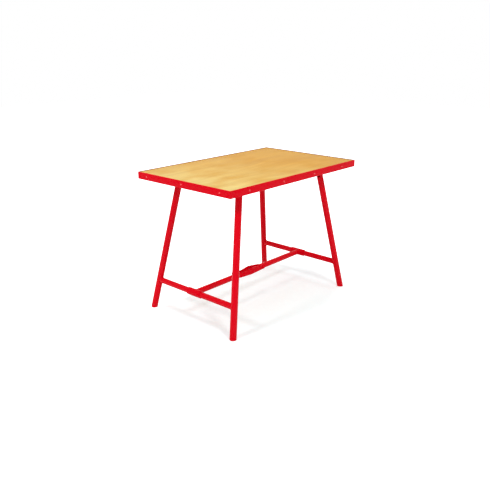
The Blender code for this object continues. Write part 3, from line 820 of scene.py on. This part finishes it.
for end, side_x in (("left", -1), ("right", 1)):
    body = f"{end}_brace"
    low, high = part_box(f"{end}_brace_sleeve")
    axis = (low + high) / 2
    sleeve_radius = (high.z - low.z) / 2
    sleeve = tube_ring(RAIL_RADIUS + RUNNING_GAP, sleeve_radius, high.y - low.y, SLEEVE_EASE)
    seat = Vector((axis.x, low.y, axis.z))
    fit(f"{end}_sleeve", sleeve, red, body, f"{end}_brace_sleeve", at=towards(seat, (0, 1, 0)))

    cap_low, cap_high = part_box(f"{end}_brace_cap")
    tip = cap_low.x if side_x > 0 else cap_high.x
    mouth = tip + side_x * CAP_LIP
    coped = []
    bead = []
    for _, y, z in brace_ring(0, 0):
        coped.append((axis.x - side_x * math.sqrt(sleeve_radius**2 - z * z), y, axis.z + z))
        y *= BRACE_WELD_OUT
        z *= BRACE_WELD_OUT
        rise = min(sleeve_radius * BRACE_WELD_CREST, abs(z))
        bead.append((axis.x - side_x * math.sqrt(sleeve_radius**2 - rise**2), y, axis.z + z))
    rings = [coped]
    rings += [brace_ring(axis.x + (mouth - axis.x) * share, axis.z) for share in BRACE_STATIONS]
    rings.append(brace_ring(mouth + side_x * MOUTH_EASE, axis.z))
    rings.append(brace_ring(mouth, axis.z, BRACE_RADIUS - MOUTH_EASE))
    rings.append(brace_ring(mouth, axis.z, BRACE_BORE))
    rings.append(brace_ring(mouth + side_x * BRACE_BORE_DEPTH, axis.z, BRACE_BORE))
    if end == "right":
        drill_low, drill_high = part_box("link_hinge_bolt")
        drill_radius = HINGE_RADIUS + RUNNING_GAP
        drill_from = -BRACE_DRILL / 2
    else:
        drill_low, drill_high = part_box("lock_plunger")
        drill_radius = PLUNGER_RADIUS + RUNNING_GAP
        drill_from = 0.0
    drill_at = (drill_low + drill_high) / 2
    drill_place = towards(Vector((drill_at.x, drill_from, drill_at.z)), (0, 1, 0))
    drill = moved(rod(drill_radius, BRACE_DRILL), drill_place)
    brace = carve(loft(rings), ("DIFFERENCE", drill))
    fit(f"{end}_brace_tube", brace, tube_red, body, f"{end}_brace", sharp=30)
    weld(f"{end}_brace_weld", bead, BRACE_WELD, body)
    cap = turned(CAP_PROFILE, CAP_SIDES)
    seat = Vector((tip + side_x * CAP_DEPTH, 0, axis.z))
    fit(f"{end}_tube_cap", cap, red, body, f"{end}_brace_cap", at=towards(seat, (-side_x, 0, 0)))


# Centre link: two 4 mm plates that hinge on the right brace and straddle the left one.
# They have rolled edges, a spacer tube on a rivet between them, and are enamelled with the frame.

PLATE_EASE = 0.0007
PLATE_DRILL = 0.05
PLATE_DRILL_LEAD = 0.02
RIVET_RADIUS = 0.004
RIVET_HEAD = 0.0035
SPACER_EASE = 0.0005
SPACER_SIDES = 40
HINGE_ARC = (-87, 82)
NOSE_RADIUS = 0.010
NOSE_ARC = (100, 265)
CROWN_X = -0.005
KEEL_X = -0.022
CORNER_ROUND = 0.012

hinge_low, hinge_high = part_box("link_hinge_bolt")
hinge_point = (hinge_low + hinge_high) / 2
rivet_low, rivet_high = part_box("link_rivet")
rivet_point = (rivet_low + rivet_high) / 2
plunger_low, plunger_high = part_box("lock_plunger")
plunger_point = (plunger_low + plunger_high) / 2
plate_low, plate_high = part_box("front_link_plate")
hinge_end = plate_high.x - hinge_point.x


def link_plate():
    """Side view about the brace's axis, with X to the right and Y up."""
    hinge_arc = arc(hinge_point.x, 0, hinge_end, *HINGE_ARC, 16)
    nose_arc = arc(plunger_point.x, 0, NOSE_RADIUS, *NOSE_ARC, 16)
    crown = (CROWN_X, plate_high.z - hinge_point.z, CORNER_ROUND)
    keel = (KEEL_X, plate_low.z - hinge_point.z, CORNER_ROUND)
    above = rounded([(*hinge_arc[-1], 0), crown, (*nose_arc[0], 0)])
    below = rounded([(*nose_arc[-1], 0), keel, (*hinge_arc[0], 0)])
    return hinge_arc + above[1:-1] + nose_arc + below[1:-1]


def eased_prism(outline, thickness, ease, steps=3):
    """A clockwise outline in XY, extruded along Z with its rims rounded over."""
    points = [Vector(point) for point in outline]
    inward = []
    for index, here in enumerate(points):
        before = (here - points[index - 1]).normalized()
        after = (points[(index + 1) % len(points)] - here).normalized()
        heading = (before + after).normalized()
        inward.append(Vector((heading.y, -heading.x)) / heading.dot(before))
    rims = []
    for step in range(steps + 1):
        angle = math.pi / 2 * step / steps
        rims.append((ease * (1 - math.sin(angle)), ease * (1 - math.cos(angle))))
    rims += [(inset, thickness - level) for inset, level in reversed(rims)]
    rings = []
    for inset, level in rims:
        rings.append([(*(point + way * inset), level) for point, way in zip(points, inward)])
    return loft(rings)


for row in ("front", "back"):
    low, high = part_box(f"{row}_link_plate")
    plate = eased_prism([(-x, z) for x, z in link_plate()], high.y - low.y, PLATE_EASE)
    moved(plate, towards(Vector((0, low.y, hinge_point.z)), (0, 1, 0)))
    holes = [(hinge_point, HINGE_RADIUS), (rivet_point, RIVET_RADIUS)]
    if row == "back":
        holes.append((plunger_point, PLUNGER_RADIUS))
    drills = []
    for point, radius in holes:
        place = towards(Vector((point.x, low.y - PLATE_DRILL_LEAD, point.z)), (0, 1, 0))
        drills.append(("DIFFERENCE", moved(rod(radius + RUNNING_GAP, PLATE_DRILL), place)))
    fit(f"{row}_plate", carve(plate, *drills), red, "lock_link", f"{row}_link_plate", sharp=30)

low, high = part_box("link_spacer")
spacer_radius = (high.z - low.z) / 2
spacer = tube_ring(RIVET_RADIUS + RUNNING_GAP, spacer_radius, high.y - low.y, SPACER_EASE, SPACER_SIDES)
seat = Vector((rivet_point.x, low.y, rivet_point.z))
fit("spacer_tube", spacer, zinc, "lock_link", "link_spacer", at=towards(seat, (0, 1, 0)))

rivet_half = (rivet_high.y - rivet_low.y) / 2 - RIVET_HEAD
rivet = headed(RIVET_RADIUS, rivet_half, (rivet_high.z - rivet_low.z) / 2, RIVET_HEAD)
fit("link_rivet_headed", rivet, red, "lock_link", "link_rivet", at=towards(rivet_point, (0, 1, 0)))


# Link hinge: a 10 mm hexagon bolt through both plates and the right brace's tube.
# A self-locking nut holds it at the back. Both have turned chamfers, and both are enamelled over.

HEX_FLAT = 0.008
HEX_SIDES = 36
HEX_CROWN = 0.93
HEX_SEAT = 0.94
BOLT_HEAD = 0.0064
BOLT_CHAMFER = 0.0009
BOLT_SEAT_CHAMFER = 0.0004
BOLT_EASE = 0.0008
BOLT_CENTRE = 0.1
NUT_HEIGHT = 0.008
NUT_SEAT_CHAMFER = 0.0006
NUT_FLATS = 0.62
NUT_COLLAR = ((HEX_CROWN, 0.70), (0.86, 0.94), (0.80, 1.0))

bolt_length = hinge_high.y - hinge_low.y - BOLT_HEAD
profile = [
    (HEX_FLAT * BOLT_CENTRE, -BOLT_HEAD),
    (HEX_FLAT * HEX_CROWN, -BOLT_HEAD),
    (HEX_FLAT, -BOLT_HEAD + BOLT_CHAMFER, True),
    (HEX_FLAT, -BOLT_SEAT_CHAMFER, True),
    (HEX_FLAT * HEX_SEAT, 0),
    (HINGE_RADIUS, 0),
    (HINGE_RADIUS, bolt_length - BOLT_EASE),
    (HINGE_RADIUS - BOLT_EASE, bolt_length),
    (HINGE_RADIUS * BOLT_CENTRE, bolt_length),
]
bolt = turned(profile, HEX_SIDES)
seat = Vector((hinge_point.x, hinge_low.y + BOLT_HEAD, hinge_point.z))
fit("hinge_bolt", bolt, red, "lock_link", "link_hinge_bolt", at=towards(seat, (0, 1, 0)), sharp=25)

profile = [
    (HINGE_RADIUS + RUNNING_GAP, 0),
    (HEX_FLAT * HEX_SEAT, 0),
    (HEX_FLAT, NUT_SEAT_CHAMFER, True),
    (HEX_FLAT, NUT_HEIGHT * NUT_FLATS, True),
    *[(HEX_FLAT * reach, NUT_HEIGHT * share) for reach, share in NUT_COLLAR],
    (HINGE_RADIUS + RUNNING_GAP, NUT_HEIGHT),
]
nut = turned(profile, HEX_SIDES, closed=True)
seat = Vector((hinge_point.x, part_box("link_hinge_nut")[0].y, hinge_point.z))
fit("hinge_nut", nut, red, "lock_link", "link_hinge_nut", at=towards(seat, (0, 1, 0)), sharp=25)


# Index plunger: a plated housing on the back plate guides a pin that drops into the left brace.
# It is pulled by a ribbed black knob, and it rests pulled out and parked.

BLACK_SHADES = ((0.014, 0.014, 0.015, 1.0), (0.026, 0.026, 0.027, 1.0))
HOUSING_HEX = 0.97
HOUSING_FLATS = 0.34
HOUSING_CHAMFER = 0.0006
HOUSING_BARREL = ((0.90, 0.38), (0.78, 0.40), (0.78, 0.95), (0.70, 1.0))
PLUNGER_NOSE = ((0.1, 0.0), (0.72, 0.0), (0.92, 0.0006), (1.0, 0.0016))
PLUNGER_TAIL = ((1.0, 0.0006), (0.85, 0.0), (0.1, 0.0))
KNOB_RIBS = 18
KNOB_RIB_STEPS = 4
KNOB_RIB_DEPTH = 0.07
KNOB_RIB_ENDS = (0.1, 0.9)
KNOB_STATIONS = ((0, 0.78), (0.06, 0.90), (0.16, 1.0), (0.84, 1.0), (0.94, 0.92), (1.0, 0.80))


def black_moulding():
    """Matt moulded plastic with a faint spark-eroded grain."""
    finish, _, node, link = new_finish("black_plastic", 0.5)
    place = node("ShaderNodeTexCoord").outputs["Object"]
    grain = noise(node, place, scale=900.0)["Fac"]
    link(blend(node, grain, *BLACK_SHADES), "Base Color")
    link(graded(node, grain, 0.0, 1.0, low=0.42, high=0.62), "Roughness")
    link(roughened(node, grain, strength=0.15, distance=0.0002), "Normal")
    return finish


low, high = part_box("plunger_housing")
wide = (high.z - low.z) / 2
length = high.y - low.y
profile = [
    (PLUNGER_RADIUS + RUNNING_GAP, 0),
    (wide * HOUSING_HEX, 0),
    (wide * HOUSING_HEX, HOUSING_CHAMFER, True),
    (wide * HOUSING_HEX, length * HOUSING_FLATS, True),
    *[(wide * reach, length * share) for reach, share in HOUSING_BARREL],
    (PLUNGER_RADIUS + RUNNING_GAP, length),
]
housing = turned(profile, HEX_SIDES, closed=True)
seat = Vector((plunger_point.x, low.y, plunger_point.z))
fit("plunger_barrel", housing, zinc, "lock_link", "plunger_housing", at=towards(seat, (0, 1, 0)), sharp=25)

pin_radius = (plunger_high.z - plunger_low.z) / 2
pin_length = plunger_high.y - plunger_low.y
profile = [(pin_radius * reach, level) for reach, level in PLUNGER_NOSE]
profile += [(pin_radius * reach, pin_length - drop) for reach, drop in PLUNGER_TAIL]
seat = Vector((plunger_point.x, plunger_low.y, plunger_point.z))
fit("plunger_pin", turned(profile), zinc, "lock_pin", "lock_plunger", at=towards(seat, (0, 1, 0)))

low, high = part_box("lock_knob")
knob_radius = (high.z - low.z) / 2
knob_length = high.y - low.y
knob_angles = ring_angles(KNOB_RIB_STEPS * KNOB_RIBS)
rings = []
for share, reach in KNOB_STATIONS:
    ribbed = KNOB_RIB_ENDS[0] < share < KNOB_RIB_ENDS[1]
    ring = []
    for step, angle in enumerate(knob_angles):
        radius = knob_radius * reach
        if ribbed and step % KNOB_RIB_STEPS < KNOB_RIB_STEPS / 2:
            radius *= 1 - KNOB_RIB_DEPTH
        ring.append((radius * math.cos(angle), radius * math.sin(angle), share * knob_length))
    rings.append(ring)
for level in (knob_length, 0.0):
    bore = pin_radius + RUNNING_GAP
    rings.append([(bore * math.cos(angle), bore * math.sin(angle), level) for angle in knob_angles])
knob = loft(rings, closed=True)
seat = Vector((plunger_point.x, low.y, plunger_point.z))
fit("plunger_knob", knob, black_moulding(), "lock_pin", "lock_knob", at=towards(seat, (0, 1, 0)), sharp=30)


# Studio: a white floor that keeps the soft shadows, a white surround, and three soft lamps.
# The camera stands where the photograph was taken, in front of the left-hand corner.

FLOOR_SIZE = 24.0
FLOOR_TINT_AGAINST_BOUNCE = (0.86, 0.97, 1.0, 1.0)
FLOOR_BOUNCE = (0.80, 0.80, 0.80, 1.0)
FLOOR_LIFT = 0.22
FLOOR_OVAL = (1.0, 1.3, 1.0)
FLOOR_OVAL_FADE = (0.55, 0.95)
FLOOR_BACK_PAINTED_LIGHT_FADE = (0.24, 0.34)
SURROUND_LIGHT = 0.70
CAMERA_PLACE = (-2.6077, -2.2966, 1.4948)
CAMERA_DOWN = 18.52
CAMERA_TURN = -48.01
CAMERA_LENS = 44.55
CAMERA_SENSOR = 36.0


def white_in_sight(node):
    """1 for the rays that show the surround: the camera's own, and those off gloss or through glass."""
    rays = node("ShaderNodeLightPath").outputs
    seen = maths(node, "MAXIMUM", rays["Is Camera Ray"], rays["Is Glossy Ray"])
    return maths(node, "MAXIMUM", seen, rays["Is Transmission Ray"])


def faded(node, value, fade, low=0.0):
    """Runs smoothly from low to 1 over a fade's length."""
    steps = {"Value": value, "From Min": fade[0], "From Max": fade[1], "To Min": low}
    return node("ShaderNodeMapRange", steps, interpolation_type="SMOOTHSTEP").outputs["Result"]


def studio_paper():
    """Matt paper that glows white in sight of the camera, except near the bench, where shadows fall; behind
    the bench it glows full white, painted light over the top's shadow.
    """
    paper = bpy.data.materials.new("studio_paper")
    paper.use_nodes = True
    paper.node_tree.nodes.clear()
    node = node_maker(paper.node_tree)
    seen = white_in_sight(node)
    # In sight, the paper is tinted cyan so that the red light the bench bounces onto it is painted out.
    matt = node("ShaderNodeBsdfDiffuse", {"Color": blend(node, seen, FLOOR_BOUNCE, FLOOR_TINT_AGAINST_BOUNCE)})
    place = node("ShaderNodeTexCoord").outputs["Object"]
    oval = node("ShaderNodeVectorMath", {0: place, 1: FLOOR_OVAL}, operation="MULTIPLY").outputs["Vector"]
    away = node("ShaderNodeVectorMath", {0: oval}, operation="LENGTH").outputs["Value"]
    across = node("ShaderNodeSeparateXYZ", {"Vector": place}).outputs["Y"]
    beside = faded(node, away, FLOOR_OVAL_FADE, FLOOR_LIFT)
    # Behind the bench the glow is full: painted light that hides the shadow of the top.
    bright = maths(node, "MAXIMUM", beside, faded(node, across, FLOOR_BACK_PAINTED_LIGHT_FADE))
    glow = node("ShaderNodeEmission", {"Strength": maths(node, "MULTIPLY", bright, seen)})
    both = node("ShaderNodeAddShader", {0: matt.outputs["BSDF"], 1: glow.outputs["Emission"]})
    node("ShaderNodeOutputMaterial", {"Surface": both.outputs["Shader"]})
    return paper


floor_mesh = bpy.data.meshes.new("studio_floor")
half = FLOOR_SIZE / 2
corners = [(-half, -half, 0), (half, -half, 0), (half, half, 0), (-half, half, 0)]
floor_mesh.from_pydata(corners, [], [(0, 1, 2, 3)])
floor_mesh.materials.append(studio_paper())
floor = bpy.data.objects.new("studio_floor", floor_mesh)
bpy.context.scene.collection.objects.link(floor)
floor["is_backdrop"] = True

world = bpy.data.worlds.new("studio_surround")
bpy.context.scene.world = world
world.use_nodes = True
world.node_tree.nodes.clear()
node = node_maker(world.node_tree)
level = node("ShaderNodeMix", {"Factor": white_in_sight(node), 2: SURROUND_LIGHT, 3: 1.0})
sky = node("ShaderNodeBackground", {"Color": (1.0, 1.0, 1.0, 1.0), "Strength": level.outputs[0]})
node("ShaderNodeOutputWorld", {"Surface": sky.outputs["Background"]})


def lamp(name, place, aim, size, power):
    """A square soft lamp at a place, turned to a point."""
    light = bpy.data.lights.new(name, "AREA")
    light.size = size
    light.energy = power
    made = bpy.data.objects.new(name, light)
    bpy.context.scene.collection.objects.link(made)
    made.location = place
    made.rotation_euler = (Vector(aim) - Vector(place)).to_track_quat("-Z", "Y").to_euler()


lamp("key_lamp", place=(-1.0, -2.64, 3.6), aim=(0, 0, 0.5), size=0.6, power=39)
lamp("side_lamp", place=(-3.6, 0.3, 3.0), aim=(0, 0, 0.5), size=0.6, power=38)
lamp("top_lamp", place=(0.5, 0.9, 3.4), aim=(0.3, 0.5, 0), size=2.0, power=25)

camera_data = bpy.data.cameras.new("photo_camera")
camera_data.lens = CAMERA_LENS
camera_data.sensor_width = CAMERA_SENSOR
camera = bpy.data.objects.new("photo_camera", camera_data)
bpy.context.scene.collection.objects.link(camera)
camera.location = CAMERA_PLACE
camera.rotation_euler = (math.radians(90 - CAMERA_DOWN), 0, math.radians(CAMERA_TURN))
bpy.context.scene.camera = camera
bpy.context.scene.view_settings.view_transform = "Standard"

low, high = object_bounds()
